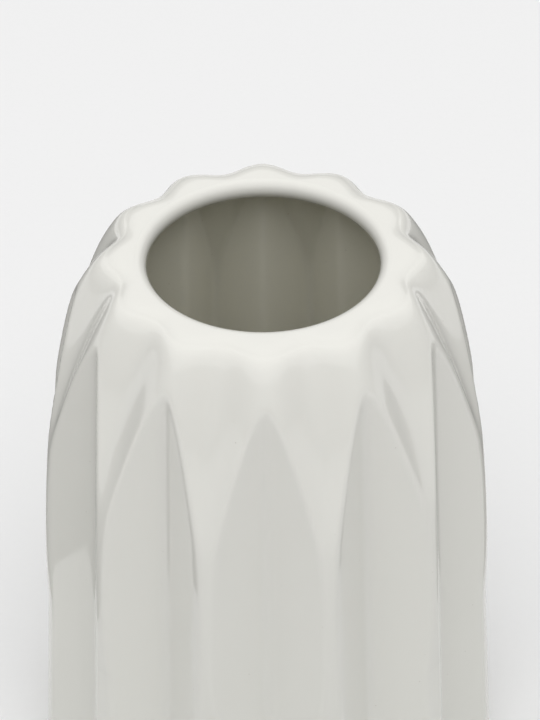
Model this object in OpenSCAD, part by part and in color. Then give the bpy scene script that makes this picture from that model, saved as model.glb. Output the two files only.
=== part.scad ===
// Tall pleated flower vase in glazed white stoneware. V-shaped grooves run up a body that narrows
// slightly towards the top. On the shoulder the pleats change places: a soft ridge rises from the end
// of each groove, and a soft shoulder groove comes down to the end of each crest. They die out at the
// rim, which is a flat ring with a rolled lip round an open mouth. The pleats show on the inside too,
// because the wall is equally thick all over.

/* [Overall] */
// Height of the vase from the table to the rim
vase_h = 250; // [230:1:320]
// Radius of the foot over the crests of the pleats
foot_r = 94.5; // [90:0.5:110]

/* [Pleats] */
// Number of grooves round the body
pleat_count = 12; // [10:1:14]
// Depth of a groove below the crests at the foot
pleat_depth = 13.2; // [11:0.1:16]
// Depth of the narrow land left where the glaze softens a crest
crest_trim = 3.9; // [2:0.1:5]

/* [Shoulder] */
// Height over which the shoulder bends from the straight body to the rim
shoulder_h = 146; // [120:1:160]
// Radius of the body over the crests where the shoulder begins
shoulder_r = 85.4; // [82:0.1:88]
// Radius at which the ridges of the shoulder meet the flat of the rim
rim_r = 52.8; // [51:0.1:56]
// Height over which the shoulder grooves run down from the rim
shoulder_groove_h = 120; // [100:1:130]
// Radius of their bottoms at the rim
shoulder_groove_r = 48.9; // [47:0.1:50]
// Depth of a shoulder groove at the rim, below the line where its side meets the next groove's side
shoulder_groove_depth = 4.6; // [4:0.1:6]
// How far a shoulder groove's bottom lies outside the body's crest where it runs out
shoulder_groove_rise = 1.4; // [0.5:0.1:3]

/* [Wall] */
// Thickness of the fired wall with its glaze
wall_t = 7.5; // [6:0.1:9]
// Extra thickness that the cast wall gathers inside the crests and ridges
crest_fill = 1; // [0.8:0.1:2]
// Thickness of the floor with its glaze
floor_t = 8; // [6:0.1:12]
// Thickness of a coat of glaze
glaze_t = 0.4; // [0.3:0.05:0.6]

/* [Mouth] */
// Radius of the open mouth
mouth_r = 39.6; // [30:0.1:41]

/* [Foot] */
// Radius of the bend where the crests meet the foot
foot_round = 3; // [2:0.5:6]
// Height of the bare clay left below the outer glaze
bare_foot_h = 2.5; // [2:0.1:5]
// Radius of the hollow under the foot
recess_r = 70; // [55:0.5:72]
// Depth of the hollow under the foot
recess_h = 2.5; // [1:0.1:4]

/* [Pads] */
// Number of felt pads stuck under the foot
pad_count = 4; // [3:1:6]
// Diameter of a pad
pad_d = 8; // [6:0.5:10]
// Thickness of a pad
pad_t = 1.2; // [0.8:0.1:2]

/* [Hidden] */
$fn = 180;

// How full the bends of the shoulder and of its grooves are: 2 is an ellipse, 1 a straight line
shoulder_power = 1.8;
shoulder_groove_power = 1.42;

// Straight steps that stand for each bend of the outlines
dome_steps = 20;
bend_steps = 10;
lip_steps = 10;
corner_steps = 4;

// How far a cutting shape runs past what it cuts
overrun = 5;

// Angle from one groove to the next, and from a groove to the crest beside it
pitch = 360 / pleat_count;
half_pitch = pitch / 2;

// The straight sides all point to one apex high above the vase
apex_h = foot_r * (vase_h - shoulder_h) / (foot_r - shoulder_r);
function narrowed(r, z) = r * (1 - z / apex_h);

// Radius of the groove bottoms at the foot, and of the crests there before their land is cut
groove_r = foot_r - pleat_depth;
sharp_crest_r = foot_r + crest_trim;

// Angle between a groove's side and the tangent at the groove's bottom
side_angle = atan((cos(half_pitch) - groove_r / sharp_crest_r) / sin(half_pitch));

// Where the shoulder grooves run out over the crests, and the angle of their sides
run_out_z = vase_h - shoulder_groove_h;
run_out_r = narrowed(sharp_crest_r, run_out_z) + shoulder_groove_rise;
sharp_ridge_r = shoulder_groove_r + shoulder_groove_depth;
shoulder_side_angle = atan((cos(half_pitch) - shoulder_groove_r / sharp_ridge_r) / sin(half_pitch));

// The lip is a half round as thick as the wall, centred on a ring outside the mouth
lip_r = wall_t / 2;
lip_ring_r = mouth_r + lip_r;
lip_z = vase_h - lip_r;

// Bend inside the vase where the wall meets the floor
floor_round = foot_round;

// The pads lie under the middle of the ring of clay between the hollow and the grooves
pad_ring_r = (recess_r + groove_r) / 2;

// Points along a bend from its side up to its top
function bend(cx, cz, rx, rz, power, steps) = [
    for (i = [0:steps]) let (a = 90 * i / steps)
        [cx + rx * pow(cos(a), 2 / power), cz + rz * pow(sin(a), 2 / power)]
];

// Outline of the plain domed form, set in by inset from the glazed outside, with its floor at base_z.
// Fill takes it in further where it ends the crests and ridges.
function dome_outline(inset, fill, base_z, corner_r) = concat(
    [[0, base_z]],
    [for (i = [0:corner_steps]) let (a = 90 * i / corner_steps)
        [narrowed(foot_r, base_z) - inset - fill - corner_r + corner_r * sin(a), base_z + corner_r - corner_r * cos(a)]],
    bend(rim_r - fill, vase_h - shoulder_h, shoulder_r - inset - rim_r, shoulder_h - inset, shoulder_power, dome_steps),
    [[0, vase_h - inset]]
);

// Outline of all that lies outside one side of a body groove, seen along that side
function groove_outline(inset) = [
    [foot_r + overrun, -overrun],
    [narrowed(groove_r, -overrun) * cos(side_angle) - inset, -overrun],
    [narrowed(groove_r, vase_h + overrun) * cos(side_angle) - inset, vase_h + overrun],
    [foot_r + overrun, vase_h + overrun]
];

// The same for a shoulder groove
function shoulder_groove_outline(inset) = concat(
    [[foot_r + overrun, run_out_z]],
    bend(
        shoulder_groove_r * cos(shoulder_side_angle), run_out_z,
        (run_out_r - shoulder_groove_r) * cos(shoulder_side_angle) - inset, shoulder_groove_h - inset,
        shoulder_groove_power, bend_steps
    ),
    [[shoulder_groove_r * cos(shoulder_side_angle), vase_h + overrun], [foot_r + overrun, vase_h + overrun]]
);

// Outline of the mouth's opening: its edge goes round the lip, which keeps a radius of lip_r - inset
function mouth_outline(inset, top_z) = concat(
    [[0, top_z], [lip_ring_r, top_z]],
    [for (i = [0:lip_steps]) let (a = 90 + 180 * i / lip_steps)
        [lip_ring_r + (lip_r - inset) * cos(a), lip_z + (lip_r - inset) * sin(a)]],
    [[lip_ring_r, vase_h - wall_t - overrun], [0, vase_h - wall_t - overrun]]
);

// One groove: its two sides meet in a line up the bottom of the groove
module groove(outline, angle) {
    intersection_for (side = [-1, 1])
        rotate(side * angle)
            rotate([90, 0, 0])
                linear_extrude(2 * foot_r, center = true)
                    polygon(outline);
}

// The whole pleated form, with a groove facing the front
module pleated_form(inset, fill, base_z, corner_r) {
    difference() {
        rotate_extrude()
            polygon(dome_outline(inset, fill, base_z, corner_r));
        for (i = [0:pleat_count - 1])
            rotate(i * pitch - 90) {
                groove(groove_outline(inset), side_angle);
                rotate(half_pitch)
                    groove(shoulder_groove_outline(inset), shoulder_side_angle);
            }
    }
}

// The outside of the clay or, with no inset, of the glaze on it
module outside(inset) {
    pleated_form(inset, 0, pad_t, foot_round);
}

// The space inside the wall, down to the floor, where the surface lies inset from the outer glaze
module inside(inset) {
    pleated_form(inset, crest_fill, pad_t + floor_t - wall_t + inset, floor_round);
}

module mouth(inset, top_z) {
    rotate_extrude()
        polygon(mouth_outline(inset, top_z));
}

// Fired clay: wall, floor, lip and foot ring in one piece
module stoneware_body() {
    color("tan")
        difference() {
            outside(glaze_t);
            inside(wall_t - glaze_t);
            mouth(glaze_t, vase_h + overrun);
            translate([0, 0, pad_t - overrun])
                cylinder(r = recess_r, h = recess_h + overrun);
        }
}

// Glaze on the outside, from the bare foot up to the top of the lip
module outer_glaze() {
    color("white")
        difference() {
            outside(0);
            outside(glaze_t);
            cylinder(r = lip_ring_r, h = vase_h + overrun);
            cylinder(r = foot_r + overrun, h = pad_t + bare_foot_h);
        }
}

// Glaze that lines the inside, from the top of the lip down over the floor
module liner_glaze() {
    color("ivory")
        difference() {
            union() {
                inside(wall_t - glaze_t);
                mouth(glaze_t, vase_h);
            }
            inside(wall_t);
            mouth(0, vase_h + overrun);
        }
}

// Felt discs that keep the bare foot off the table
module felt_pads() {
    color("dimgray")
        for (i = [0:pad_count - 1])
            rotate(i * 360 / pad_count)
                translate([pad_ring_r, 0, 0])
                    cylinder(d = pad_d, h = pad_t);
}

stoneware_body();
outer_glaze();
liner_glaze();
felt_pads();
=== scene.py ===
import math

import bpy
from mathutils import Matrix, Vector


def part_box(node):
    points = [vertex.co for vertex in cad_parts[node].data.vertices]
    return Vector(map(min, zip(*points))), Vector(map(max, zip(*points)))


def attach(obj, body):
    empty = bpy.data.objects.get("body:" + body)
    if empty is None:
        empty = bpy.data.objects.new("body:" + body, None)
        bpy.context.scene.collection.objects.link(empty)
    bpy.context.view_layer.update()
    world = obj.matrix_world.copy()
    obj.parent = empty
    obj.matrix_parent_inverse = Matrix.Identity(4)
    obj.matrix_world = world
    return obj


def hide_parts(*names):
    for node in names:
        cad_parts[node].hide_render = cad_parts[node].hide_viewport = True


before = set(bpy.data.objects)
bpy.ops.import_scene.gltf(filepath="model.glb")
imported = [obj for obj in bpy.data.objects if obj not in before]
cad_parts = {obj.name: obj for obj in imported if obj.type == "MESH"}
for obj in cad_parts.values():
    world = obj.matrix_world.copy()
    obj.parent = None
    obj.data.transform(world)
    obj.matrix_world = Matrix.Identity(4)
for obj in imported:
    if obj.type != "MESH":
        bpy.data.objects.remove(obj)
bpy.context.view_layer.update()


# Stoneware body
# The vase is slip-cast in one piece from pale stoneware. Twelve V-shaped grooves run up its body and,
# between them on the shoulder, twelve shallower ones come down from the rim. The cast wall is equally
# thick, so the pleats show inside as well. Only the foot and the hollow under it are left bare.
MM = 0.001
rim_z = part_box("outer_glaze")[1][2]
base_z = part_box("stoneware_body")[0][2]
floor_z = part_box("liner_glaze")[0][2]

# The straight sides narrow towards one apex high above the vase, and their grooves with them. A crest
# would end in a sharp edge outside the plain form, which trims it.
pleat_count = 12
pleat_depth = 13.2 * MM
crest_trim = 3.9 * MM
half_pitch = math.pi / pleat_count
foot_r = 94.5 * MM
groove_r = foot_r - pleat_depth
sharp_crest_r = foot_r + crest_trim
side_slope = (math.cos(half_pitch) - groove_r / sharp_crest_r) / math.sin(half_pitch)
shoulder_r = 85.4 * MM
shoulder_h = 146 * MM
shoulder_z = rim_z - shoulder_h
shoulder_power = 1.71
rim_r = 56.1 * MM
apex_z = foot_r * shoulder_z / (foot_r - shoulder_r)

# The shoulder grooves run down from the rim and end a little outside the crests of the body
shoulder_groove_h = 120 * MM
shoulder_groove_r = 48.2 * MM
shoulder_groove_depth = 7.8 * MM
shoulder_groove_rise = 2.3 * MM
shoulder_groove_power = 1.3
sharp_ridge_r = shoulder_groove_r + shoulder_groove_depth
shoulder_slope = (math.cos(half_pitch) - shoulder_groove_r / sharp_ridge_r) / math.sin(half_pitch)
run_out_z = rim_z - shoulder_groove_h
run_out_r = sharp_crest_r * (1 - run_out_z / apex_z) + shoulder_groove_rise

# The wall, the lip round the mouth, and the foot
wall_t = 7.5 * MM
glaze_t = 0.4 * MM
clay_inset = wall_t - glaze_t
crest_fill = 1 * MM
mouth_r = 39.6 * MM
lip_r = wall_t / 2
lip_ring_r = mouth_r + lip_r
foot_round = 3 * MM
recess_r = 70 * MM
recess_h = 2.5 * MM
recess_bevel = 1 * MM

# How much the crests, ridges and bottoms are softened, as a share of the radius there, and over what
# size the edges are where two forms meet
crest_softness = 0.07
groove_softness = 0.06
ridge_softness = 0.235
valley_softness = 0.11
edge_softness = 1.5 * MM

# The corner of the rim is rolled off over the size rim_roll, and drops by roll_drop at most
rim_roll = 9 * MM
roll_drop = rim_roll / 6
roll_power = 3.0
roll_inward_rate = 1.2

# A narrow row of faces where the two coats meet keeps the smooth shading of each off its end
seam_w = 0.03 * MM
merge_gap = seam_w / 6

# Rows of faces along each stretch of the half section, and columns of faces for each pleat
clay_rows = {"straight": 10, "shoulder": 40, "rim": 8, "lip": 12, "corner": 6, "floor": 8}
clay_columns = 22


def section_point(r, z, inset=0.0, fold=1.0, end_r=0.0):
    """A point of the half section: its radius and height on the plain unpleated form, how far its
    surface lies under the glazed outside, and how much it takes part in the pleats: the rest of the
    way it goes to the radius end_r."""
    return (r, z), (inset, fold, end_r)


def plain_r(z, inset, fill):
    """Radius of the straight part of the unpleated form, set in further by fill to end its crests."""
    return foot_r * (1 - z / apex_z) - inset - fill


def wall_section(inset, fill, low_z, rows):
    """The wall from low_z up over the shoulder and across the rim to the ring of the lip."""
    across = shoulder_r - inset - rim_r
    up = shoulder_h - inset
    points = []
    for i in range(rows["straight"]):
        z = low_z + (shoulder_z - low_z) * i / rows["straight"]
        points.append(section_point(plain_r(z, inset, fill), z, inset))
    for i in range(rows["shoulder"] + 1):
        turn = math.pi / 2 * i / rows["shoulder"]
        out = max(math.cos(turn), 0) ** (2 / shoulder_power)
        high = math.sin(turn) ** (2 / shoulder_power)
        points.append(section_point(rim_r - fill + across * out, shoulder_z + up * high, inset))
    shares = [i / rows["rim"] for i in range(1, rows["rim"])]
    for share in shares + [1 - seam_w / (rim_r - lip_ring_r), 1]:
        points.append(section_point(rim_r - fill, rim_z - inset, inset, 1 - share, lip_ring_r))
    return points


def lip_section(radius, rows):
    """The half round of the lip from its top over the inner side to its underside."""
    points = []
    for i in range(1, rows["lip"]):
        turn = math.pi / 2 + math.pi * i / rows["lip"]
        z = rim_z - lip_r + radius * math.sin(turn)
        points.append(section_point(rim_r, z, fold=0, end_r=lip_ring_r + radius * math.cos(turn)))
    return points


def corner_section(inset, fill, z, rows):
    """The rounded corner where the wall stands on a floor or a foot at height z."""
    points = []
    for i in range(rows["corner"]):
        turn = math.pi / 2 * i / rows["corner"]
        level = z + foot_round * (1 - math.cos(turn))
        drawn_in = foot_round * (1 - math.sin(turn)) / foot_r
        points.append(section_point(plain_r(level, inset, fill), level, inset, 1 - drawn_in))
    return points


def floor_section(inset, fill, z, rows):
    """The level floor from the middle of the vase out to the corner."""
    reach = 1 - foot_round / foot_r
    shares = [reach * i / rows["floor"] for i in range(rows["floor"])]
    return [section_point(plain_r(z, inset, fill), z, inset, share) for share in shares]


def add(tree, kind, *links, named=(), **settings):
    """Adds a node with its settings and returns the first of its outputs in use. A kind in capitals is
    an operation of the Math node. Links are sockets or values for its inputs in their order, or None
    for an input that is left as it is, and named holds those that are given by the input's name."""
    node = tree.nodes.new("ShaderNodeMath" if kind.isupper() else kind)
    if kind.isupper():
        node.operation = kind
    for setting, value in settings.items():
        setattr(node, setting, value)
    targets = list(zip([s for s in node.inputs if s.enabled], links))
    targets += [(node.inputs[name], source) for name, source in dict(named).items()]
    for target, source in targets:
        if isinstance(source, bpy.types.NodeSocket):
            tree.links.new(source, target)
        elif source is not None:
            target.default_value = source
    return next((s for s in node.outputs if s.enabled), None)


def pleating_tree():
    """Geometry Nodes that turn a half section round the axis and fold the pleats into it."""
    tree = bpy.data.node_groups.new("pleated layer", "GeometryNodeTree")
    inlet_names = {
        "NodeSocketGeometry": ["Section"],
        "NodeSocketInt": ["Pleats", "Columns per Pleat"],
        "NodeSocketFloat": [
            "Rim Height", "Rim Roll", "Apex Height", "Groove Radius", "Side Slope",
            "Shoulder Groove Height", "Run-out Height", "Run-out Radius", "Shoulder Groove Radius",
            "Shoulder Groove Power", "Shoulder Slope", "Crest Softness", "Groove Softness",
            "Ridge Softness", "Valley Softness", "Edge Softness", "Roll Drop", "Roll Power",
            "Roll Inward Rate", "Merge Distance",
        ],
        "NodeSocketMaterial": ["Material"],
    }
    for kind, names in inlet_names.items():
        for name in names:
            tree.interface.new_socket(name, in_out="INPUT", socket_type=kind)
    tree.interface.new_socket("Mesh", in_out="OUTPUT", socket_type="NodeSocketGeometry")
    inlet = {s.name: s for s in tree.nodes.new("NodeGroupInput").outputs}

    # A sheet of quads: its columns stand round the vase, and its rows follow the section
    rows = add(tree, "GeometryNodeAttributeDomainSize", inlet["Section"])
    columns = add(tree, "MULTIPLY", inlet["Pleats"], inlet["Columns per Pleat"])
    sheet = add(tree, "GeometryNodeMeshGrid", 1.0, 1.0, add(tree, "ADD", columns, 1.0), rows)
    index = add(tree, "GeometryNodeInputIndex")
    row = add(tree, "MODULO", index, rows)
    column = add(tree, "FLOOR", add(tree, "DIVIDE", index, rows))
    place = add(tree, "GeometryNodeInputPosition")
    data = add(tree, "GeometryNodeInputNamedAttribute", "fold_data", data_type="FLOAT_VECTOR")
    parts = []
    for field in (place, data):
        value = add(tree, "GeometryNodeSampleIndex", inlet["Section"], field, row, data_type="FLOAT_VECTOR")
        parts += add(tree, "ShaderNodeSeparateXYZ", value).node.outputs
    plain, _, z, inset, fold, end_r = parts

    # Angle round the axis, and the angle to the bottom of the nearest body groove and to the one past it
    angle = add(tree, "MULTIPLY", column, add(tree, "DIVIDE", 2 * math.pi, columns))
    pitch = add(tree, "DIVIDE", 2 * math.pi, inlet["Pleats"])
    half = add(tree, "MULTIPLY", pitch, 0.5)
    near = add(tree, "PINGPONG", angle, half)
    far = add(tree, "SUBTRACT", pitch, near)

    # A groove's side is a plane: its radius is the radius of the groove's bottom divided by
    # cos - slope x sin of the angle from there
    def divisor(turn, slope):
        lean = add(tree, "MULTIPLY", add(tree, "SINE", turn), slope)
        return add(tree, "SUBTRACT", add(tree, "COSINE", turn), lean)

    # Where the sides lie inset below the glazed outside, the bottom goes in by a little more
    def set_in(radius, slope):
        lean = add(tree, "SQRT", add(tree, "MULTIPLY_ADD", slope, slope, 1.0))
        return add(tree, "SUBTRACT", radius, add(tree, "MULTIPLY", inset, lean))

    # The body: its crests are softened by a smooth maximum of the divisors of the two sides that meet
    # there, and the groove's bottom by a smooth minimum with the side across it
    side_slope_in = inlet["Side Slope"]
    narrowed = add(tree, "SUBTRACT", 1.0, add(tree, "DIVIDE", z, inlet["Apex Height"]))
    bottom_r = set_in(add(tree, "MULTIPLY", inlet["Groove Radius"], narrowed), side_slope_in)
    own_side = divisor(near, side_slope_in)
    crested = add(tree, "SMOOTH_MAX", own_side, divisor(far, side_slope_in), inlet["Crest Softness"])
    facing_side = divisor(add(tree, "MULTIPLY", near, -1.0), side_slope_in)
    softened = add(tree, "SMOOTH_MIN", crested, facing_side, inlet["Groove Softness"])
    body = add(tree, "DIVIDE", bottom_r, softened)

    # The bottom of a shoulder groove bends from its run-out over a crest up to the rim, and lies well
    # outside the body below the run-out
    shoulder_slope_in = inlet["Shoulder Slope"]
    power = inlet["Shoulder Groove Power"]
    rim_valley_r = inlet["Shoulder Groove Radius"]
    height = add(tree, "SUBTRACT", inlet["Shoulder Groove Height"], inset)
    above = add(tree, "SUBTRACT", z, inlet["Run-out Height"])
    risen = add(tree, "POWER", add(tree, "DIVIDE", above, height, use_clamp=True), power)
    bent = add(tree, "POWER", add(tree, "SUBTRACT", 1.0, risen), add(tree, "DIVIDE", 1.0, power))
    across = add(tree, "SUBTRACT", set_in(inlet["Run-out Radius"], shoulder_slope_in), rim_valley_r)
    below = add(tree, "MAXIMUM", add(tree, "MULTIPLY", above, -1.0), 0.0)
    valley_r = add(tree, "ADD", add(tree, "MULTIPLY_ADD", across, bent, rim_valley_r), below)
    from_valley = add(tree, "SUBTRACT", half, near)
    own_side = divisor(from_valley, shoulder_slope_in)
    next_side = divisor(add(tree, "SUBTRACT", pitch, from_valley), shoulder_slope_in)
    ridged = add(tree, "SMOOTH_MAX", own_side, next_side, inlet["Ridge Softness"])
    facing_side = divisor(add(tree, "MULTIPLY", from_valley, -1.0), shoulder_slope_in)
    softened = add(tree, "SMOOTH_MIN", ridged, facing_side, inlet["Valley Softness"])
    valley = add(tree, "DIVIDE", valley_r, softened)

    # What is left is the smallest of the three forms, with soft edges where they meet
    grooved = add(tree, "SMOOTH_MIN", body, valley, inlet["Edge Softness"])
    folded = add(tree, "SMOOTH_MIN", grooved, plain, inlet["Edge Softness"])
    final_r = add(tree, "MULTIPLY_ADD", add(tree, "SUBTRACT", folded, end_r), fold, end_r)

    # The corner between the shoulder and the flat of the rim is rolled off: the drop fades out with the
    # depth below the rim and with the way in from the corner
    depth = add(tree, "SUBTRACT", add(tree, "SUBTRACT", inlet["Rim Height"], inset), z)
    way_in = add(tree, "SUBTRACT", folded, final_r)
    away = add(tree, "MULTIPLY_ADD", way_in, inlet["Roll Inward Rate"], depth)
    away_share = add(tree, "DIVIDE", away, inlet["Rim Roll"])
    closeness = add(tree, "SUBTRACT", 1.0, away_share, use_clamp=True)
    drop = add(tree, "MULTIPLY", add(tree, "POWER", closeness, inlet["Roll Power"]), inlet["Roll Drop"])

    # Back round the axis, with the bottom of a groove facing the front
    x = add(tree, "MULTIPLY", final_r, add(tree, "SINE", angle))
    y = add(tree, "MULTIPLY", final_r, add(tree, "MULTIPLY", add(tree, "COSINE", angle), -1.0))
    final_place = add(tree, "ShaderNodeCombineXYZ", x, y, add(tree, "SUBTRACT", z, drop))
    shaped = add(tree, "GeometryNodeSetPosition", sheet, None, final_place)

    # The first and last columns, and all that meets on the axis, close up
    closed = add(tree, "GeometryNodeMergeByDistance", shaped, None, inlet["Merge Distance"])
    smooth = add(tree, "GeometryNodeSetShadeSmooth", closed)
    real = add(tree, "GeometryNodeRealizeInstances", smooth)
    dressed = add(tree, "GeometryNodeSetMaterial", real, None, inlet["Material"])
    tree.links.new(dressed, tree.nodes.new("NodeGroupOutput").inputs[0])
    return tree


def pleated_piece(name, outline, columns_per_pleat, material):
    """Runs the pleating tree on a half section and returns the result as a plain mesh object."""
    section = bpy.data.meshes.new(name + "_section")
    edges = [(i, i + 1) for i in range(len(outline) - 1)]
    section.from_pydata([(r, 0, z) for (r, z), _ in outline], edges, [])
    fold_data = section.attributes.new("fold_data", "FLOAT_VECTOR", "POINT")
    for point, (_, data) in zip(fold_data.data, outline):
        point.vector = data
    source = bpy.data.objects.new(name + "_section", section)
    bpy.context.collection.objects.link(source)

    modifier = source.modifiers.new("pleats", "NODES")
    modifier.node_group = pleating
    inputs = {
        "Pleats": pleat_count, "Columns per Pleat": columns_per_pleat,
        "Rim Height": rim_z, "Apex Height": apex_z, "Groove Radius": groove_r, "Side Slope": side_slope,
        "Shoulder Groove Height": shoulder_groove_h, "Shoulder Groove Radius": shoulder_groove_r,
        "Shoulder Groove Power": shoulder_groove_power, "Shoulder Slope": shoulder_slope,
        "Run-out Height": run_out_z, "Run-out Radius": run_out_r,
        "Crest Softness": crest_softness, "Groove Softness": groove_softness,
        "Ridge Softness": ridge_softness, "Valley Softness": valley_softness,
        "Edge Softness": edge_softness, "Rim Roll": rim_roll, "Roll Drop": roll_drop,
        "Roll Power": roll_power, "Roll Inward Rate": roll_inward_rate,
        "Merge Distance": merge_gap, "Material": material,
    }
    for item in pleating.interface.items_tree:
        if item.name in inputs:
            modifier[item.identifier] = inputs[item.name]
    evaluated = source.evaluated_get(bpy.context.evaluated_depsgraph_get())
    mesh = bpy.data.meshes.new_from_object(evaluated)
    mesh.name = name
    source.modifiers.remove(modifier)
    bpy.data.objects.remove(source)
    piece = bpy.data.objects.new(name, mesh)
    bpy.context.collection.objects.link(piece)
    return piece


def linear(colour):
    """An sRGB hex colour as linear red, green, blue and alpha."""
    parts = [int(colour[i:i + 2], 16) / 255 for i in (1, 3, 5)]
    return [p / 12.92 if p <= 0.04045 else ((p + 0.055) / 1.055) ** 2.4 for p in parts] + [1]


def new_material(name):
    """An empty material with its node tree and its shader."""
    material = bpy.data.materials.new(name)
    material.use_nodes = True
    return material, material.node_tree, material.node_tree.nodes["Principled BSDF"]


def bare_stoneware():
    """Fired stoneware without glaze, wiped with a sponge: matt, pale buff, with fine sand in it. The
    sand is drawn coarser than it is, so that it shows."""
    sand_w = 1.2 * MM
    patch_w = 25 * MM
    patch_share = 0.5
    grey_below = 0.55
    pale_above = 0.95
    material, tree, shader = new_material("bare stoneware")
    place = add(tree, "ShaderNodeTexCoord").node.outputs["Object"]
    sand_scale = {"Vector": place, "Scale": 1 / sand_w, "Detail": 4, "Roughness": 0.6}
    sand = add(tree, "ShaderNodeTexNoise", named=sand_scale)
    patches = add(tree, "ShaderNodeTexNoise", named={"Vector": place, "Scale": 1 / patch_w})
    mixed = add(tree, "MULTIPLY_ADD", patches, patch_share, sand)
    paleness = add(tree, "ShaderNodeMapRange", mixed, grey_below, pale_above, 0.0, 1.0)
    colour = add(tree, "ShaderNodeMix", paleness, linear("#B7A68C"), linear("#D9CDB9"), data_type="RGBA")
    tree.links.new(colour, shader.inputs["Base Color"])
    grain = {"Strength": 0.4, "Distance": 0.3 * MM, "Filter Width": 1, "Height": sand}
    tree.links.new(add(tree, "ShaderNodeBump", named=grain), shader.inputs["Normal"])
    shader.inputs["Roughness"].default_value = 0.85
    shader.inputs["IOR"].default_value = 1.5
    return material


pleating = pleating_tree()
hollow_z = base_z + recess_h
hollow_corners = [
    (0, hollow_z), (recess_r - recess_bevel, hollow_z), (recess_r, hollow_z - recess_bevel),
    (recess_r, base_z + recess_bevel), (recess_r + recess_bevel, base_z),
]
clay_outline = (
    [section_point(r, z, fold=0, end_r=r) for r, z in hollow_corners]
    + corner_section(glaze_t, 0, base_z, clay_rows)
    + wall_section(glaze_t, 0, base_z + foot_round, clay_rows)
    + lip_section(lip_r - glaze_t, clay_rows)
    + wall_section(clay_inset, crest_fill, floor_z + foot_round, clay_rows)[::-1]
    + corner_section(clay_inset, crest_fill, floor_z, clay_rows)[::-1]
    + floor_section(clay_inset, crest_fill, floor_z, clay_rows)[::-1]
)
stoneware = pleated_piece("pleated_stoneware", clay_outline, clay_columns, bare_stoneware())
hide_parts("stoneware_body")
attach(stoneware, "root")


# Glaze
# Two coats of a tin-white glaze, fired to a thick smooth glass: one is poured round the inside and one
# is sprayed on the outside, and they meet on top of the lip. The glass rounds the crests and fills the
# bottoms of the grooves a little. A wiped edge ends it just above the foot.
def white_glaze(name, painted_top_colour, painted_top_z, painted_bottom_colour, painted_bottom_z):
    """Glossy white stoneware glaze: a glass with tin oxide whose colour is a painted shift of light and
    shade from the top height down to the bottom height, with a few iron specks from the clay and the
    slight waves that a run glaze keeps."""
    cloud_w = 30 * MM
    cloud_share = 0.3
    speck_gap = 9 * MM
    speck_r = 0.18 * MM
    speck_edge_r = 0.315 * MM
    speck_strength = 0.25
    wave_w = 7 * MM
    material, tree, shader = new_material(name)
    place = add(tree, "ShaderNodeTexCoord").node.outputs["Object"]
    clouds = add(tree, "ShaderNodeTexNoise", named={"Vector": place, "Scale": 1 / cloud_w, "Detail": 3})
    height = add(tree, "ShaderNodeSeparateXYZ", place).node.outputs["Z"]
    # Painted light and shade: the colour shifts with height from the top colour to the bottom colour, with
    # random clouds on top
    painted_light_share = add(tree, "ShaderNodeMapRange", height, painted_top_z, painted_bottom_z, 0.0, 1.0)
    uneven = add(tree, "MULTIPLY_ADD", clouds, cloud_share, -cloud_share / 2)
    painted_light_and_cloud_share = add(tree, "ADD", painted_light_share, uneven, use_clamp=True)
    tints = (linear(painted_top_colour), linear(painted_bottom_colour))
    tint = add(tree, "ShaderNodeMix", painted_light_and_cloud_share, *tints, data_type="RGBA")
    grains = add(tree, "ShaderNodeTexVoronoi", named={"Vector": place, "Scale": 1 / speck_gap})
    speck_shares = (speck_r / speck_gap, speck_edge_r / speck_gap, speck_strength, 0.0)
    speck = add(tree, "ShaderNodeMapRange", grains, *speck_shares)
    speckled = add(tree, "ShaderNodeMix", speck, tint, linear("#8C8474"), data_type="RGBA")
    tree.links.new(speckled, shader.inputs["Base Color"])
    wave_scale = {"Vector": place, "Scale": 1 / wave_w, "Detail": 1, "Roughness": 0.4}
    waves = add(tree, "ShaderNodeTexNoise", named=wave_scale)
    ripple = {"Strength": 0.25, "Distance": 0.1 * MM, "Filter Width": 1, "Height": waves}
    tree.links.new(add(tree, "ShaderNodeBump", named=ripple), shader.inputs["Normal"])
    shader.inputs["Roughness"].default_value = 0.06
    shader.inputs["IOR"].default_value = 1.52
    return material


# The shown sides of the coats have more rows of faces than the sides that lie on the clay
glaze_columns = 44
outside_rows = {"straight": 12, "shoulder": 72, "rim": 8}
inside_rows = {"straight": 12, "shoulder": 48, "rim": 8, "lip": 24, "corner": 6, "floor": 8}
hidden_rows = {"straight": 6, "shoulder": 24, "rim": 8, "lip": 12, "corner": 4, "floor": 4}
glaze_foot_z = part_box("outer_glaze")[0][2]
edge_bevel = 0.3 * glaze_t
foot_edge = [
    section_point(plain_r(glaze_foot_z + rise, inset, 0), glaze_foot_z + rise, inset)
    for inset, rise in ((glaze_t, 0), (edge_bevel, edge_bevel))
]
outer_outline = (
    foot_edge
    + wall_section(0, 0, glaze_foot_z + glaze_t, outside_rows)
    + wall_section(glaze_t, 0, glaze_foot_z, hidden_rows)[:0:-1]
    + foot_edge[:1]
)
# Painted shade: the outside is painted a little darker towards the foot, where less light falls
outer_white = white_glaze("tin white glaze, outside", "#E3E2DC", rim_z, "#E0E0D9", glaze_foot_z)
outer = pleated_piece("outer_glaze_coat", outer_outline, glaze_columns, outer_white)
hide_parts("outer_glaze")
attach(outer, "root")

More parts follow.
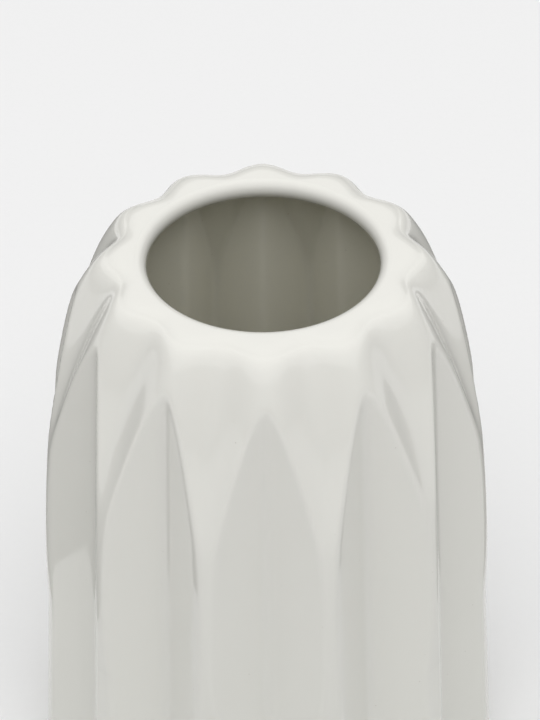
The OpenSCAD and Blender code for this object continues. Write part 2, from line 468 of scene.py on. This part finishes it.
# The narrow end of the liner on top of the lip, where the outer coat meets it
lip_seam = [
    section_point(rim_r, rim_z - inset, inset, 0, end_r)
    for inset, end_r in (
        (glaze_t, lip_ring_r - seam_w), (glaze_t, lip_ring_r), (0, lip_ring_r), (0, lip_ring_r - seam_w),
    )
]
liner_z = floor_z + glaze_t
liner_outline = (
    floor_section(clay_inset, crest_fill, floor_z, hidden_rows)
    + corner_section(clay_inset, crest_fill, floor_z, hidden_rows)
    + wall_section(clay_inset, crest_fill, floor_z + foot_round, hidden_rows)
    + lip_section(lip_r - glaze_t, hidden_rows)[::-1]
    + lip_seam
    + lip_section(lip_r, inside_rows)
    + wall_section(wall_t, crest_fill, liner_z + foot_round, inside_rows)[::-1]
    + corner_section(wall_t, crest_fill, liner_z, inside_rows)[::-1]
    + floor_section(wall_t, crest_fill, liner_z, inside_rows)[::-1]
)

# Painted light and shade: the liner is painted darker just below the lip and a lighter, warmer white
# further down, where the light through the mouth falls and bounces
painted_top_z = rim_z - 3 * MM
painted_bottom_z = rim_z - 20 * MM
liner_white = white_glaze("tin white glaze, liner", "#E3E2DC", painted_top_z, "#EDEBDE", painted_bottom_z)
liner = pleated_piece("liner_glaze_coat", liner_outline, glaze_columns, liner_white)
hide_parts("liner_glaze")
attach(liner, "root")


# Felt pads
# Four discs of pressed grey wool felt, punched out and stuck under the foot with their own glue, so
# that the bare clay does not scratch a table.
def pressed_felt():
    """Pressed wool felt: matted short fibres that take the light softly, with no shine. Real fibres
    are far finer and are drawn this coarse to show."""
    fibre_w = 0.4 * MM
    material, tree, shader = new_material("pressed grey felt")
    place = add(tree, "ShaderNodeTexCoord").node.outputs["Object"]
    matting = {"Vector": place, "Scale": 1 / fibre_w, "Detail": 5, "Roughness": 0.7, "Distortion": 1.5}
    fibres = add(tree, "ShaderNodeTexNoise", named=matting)
    colour = add(tree, "ShaderNodeMix", fibres, linear("#4A4641"), linear("#8B857C"), data_type="RGBA")
    tree.links.new(colour, shader.inputs["Base Color"])
    nap = {"Strength": 0.8, "Distance": 0.2 * MM, "Filter Width": 1, "Height": fibres}
    tree.links.new(add(tree, "ShaderNodeBump", named=nap), shader.inputs["Normal"])
    shader.inputs["Roughness"].default_value = 0.95
    shader.inputs["Sheen Weight"].default_value = 0.4
    return material


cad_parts["felt_pads"].material_slots[0].material = pressed_felt()


# Studio
# The vase stands on a wide pale table under a large overhead light, with a softer one above the front
# that lights the shoulder and shines into the mouth without glare. Beside it lie two dark cards that
# only its gloss sees: they give the sides of the outer grooves their dark streaks.
def pale_paper():
    """Matt off-white background paper with a faint tooth, drawn coarser than it is."""
    tooth_w = 3 * MM
    material, tree, shader = new_material("pale paper")
    place = add(tree, "ShaderNodeTexCoord").node.outputs["Object"]
    tooth = add(tree, "ShaderNodeTexNoise", named={"Vector": place, "Scale": 1 / tooth_w, "Detail": 3})
    colour = add(tree, "ShaderNodeMix", tooth, linear("#E7E7E7"), linear("#E9E9E9"), data_type="RGBA")
    tree.links.new(colour, shader.inputs["Base Color"])
    shader.inputs["Roughness"].default_value = 1
    shader.inputs["Specular IOR Level"].default_value = 0
    return material


def dark_card():
    """Matt black card, which looks dark grey in the light."""
    material, _, shader = new_material("dark card")
    shader.inputs["Base Color"].default_value = linear("#262626")
    shader.inputs["Roughness"].default_value = 1
    return material


def flat_sheet(name, corners, z, material):
    """A flat sheet that belongs to the studio and not to the vase."""
    mesh = bpy.data.meshes.new(name)
    mesh.from_pydata([(x, y, z) for x, y in corners], [], [tuple(range(len(corners)))])
    mesh.materials.append(material)
    sheet = bpy.data.objects.new(name, mesh)
    bpy.context.collection.objects.link(sheet)
    return sheet


table_reach = 6
table_z = 0
quarters = ((-1, -1), (1, -1), (1, 1), (-1, 1))
flat_sheet("table", [(x * table_reach, y * table_reach) for x, y in quarters], table_z, pale_paper())

# Each card's inner edge stands where the gloss of the outer grooves mirrors it
card_z = table_z + 0.5 * MM
card_reach = 0.9
card_edge = [(0.181, 0.007), (0.1845, -0.004)]
left_front = [(0.213, -0.078), (0.222, -0.106), (0.42, -0.19), (card_reach, -0.19)]
right_front = [(0.19, -0.025), (card_reach, -0.03)]
card_back = [(card_reach, card_reach), (card_edge[0][0], card_reach)]
left_outline = [(-x, y) for x, y in card_edge + left_front + card_back]
right_shift = 0.016
right_outline = [(x + right_shift, y) for x, y in card_edge + right_front + card_back]
card_paper = dark_card()
for side, outline in (("left", left_outline), ("right", right_outline[::-1])):
    card = flat_sheet("dark_card_" + side, outline, card_z, card_paper)
    card.visible_camera = False
    card.visible_diffuse = False
    card.visible_shadow = False
    card.visible_transmission = False

softbox_size = 6
softbox_z = 1.8
softbox_power = 74
softbox = bpy.data.lights.new("overhead softbox", "AREA")
softbox.shape = "RECTANGLE"
softbox.size = softbox_size
softbox.size_y = softbox_size
softbox.energy = softbox_power
softbox_object = bpy.data.objects.new("overhead_softbox", softbox)
softbox_object.location = (0, 0, softbox_z)
bpy.context.collection.objects.link(softbox_object)

front_light_power = 1.7
front_light_spread = math.radians(60)
front_light_lean = math.radians(20)
front_light = bpy.data.lights.new("front light", "SUN")
front_light.energy = front_light_power
front_light.angle = front_light_spread
front_light_object = bpy.data.objects.new("front_light", front_light)
front_light_object.rotation_euler = (front_light_lean, 0, 0)
front_light_object.visible_glossy = False
bpy.context.collection.objects.link(front_light_object)

# The room beyond the table gives little light, but looks as pale as the table does
room_light = 0.1
room_paleness = 1.0
room = bpy.data.worlds.new("studio")
room.use_nodes = True
background = room.node_tree.nodes["Background"]
background.inputs["Color"].default_value = linear("#E0E0E0")
looked_at = add(room.node_tree, "ShaderNodeLightPath")
brightness = add(room.node_tree, "MULTIPLY_ADD", looked_at, room_paleness, room_light)
room.node_tree.links.new(brightness, background.inputs["Strength"])
bpy.context.scene.world = room
bpy.context.scene.view_settings.view_transform = "Standard"


# Camera
# It looks down at the vase from the front and quite near, leaning very slightly. The middle of the rim
# shows at rim_centre_px in the picture.
look_down = math.radians(40.77)
look_turn = math.radians(-0.34)
picture_lean = math.radians(0.53)
camera_distance = 0.625
pixels_per_metre = 2967
picture_w = 540
picture_h = 720
rim_centre_px = (263.2, 252.2)
sensor_h = 24
sight_range = 50

right = Vector((math.cos(look_turn), math.sin(look_turn), 0))
forward = Vector((-math.sin(look_turn), math.cos(look_turn), 0))
back = Vector((0, 0, math.sin(look_down))) - forward * math.cos(look_down)
up = back.cross(right)
leaning_right = right * math.cos(picture_lean) - up * math.sin(picture_lean)
leaning_up = right * math.sin(picture_lean) + up * math.cos(picture_lean)
off_x = (rim_centre_px[0] - picture_w / 2) / pixels_per_metre
off_y = (picture_h / 2 - rim_centre_px[1]) / pixels_per_metre
eye = Vector((0, 0, rim_z)) + back * camera_distance - leaning_right * off_x - leaning_up * off_y

camera = bpy.data.cameras.new("camera")
camera.sensor_fit = "VERTICAL"
camera.sensor_height = sensor_h
camera.lens = pixels_per_metre * camera_distance * sensor_h / picture_h
camera.clip_end = sight_range
camera_object = bpy.data.objects.new("camera", camera)
turned = Matrix((leaning_right, leaning_up, back)).transposed().to_4x4()
camera_object.matrix_world = Matrix.Translation(eye) @ turned
bpy.context.collection.objects.link(camera_object)
bpy.context.scene.camera = camera_object
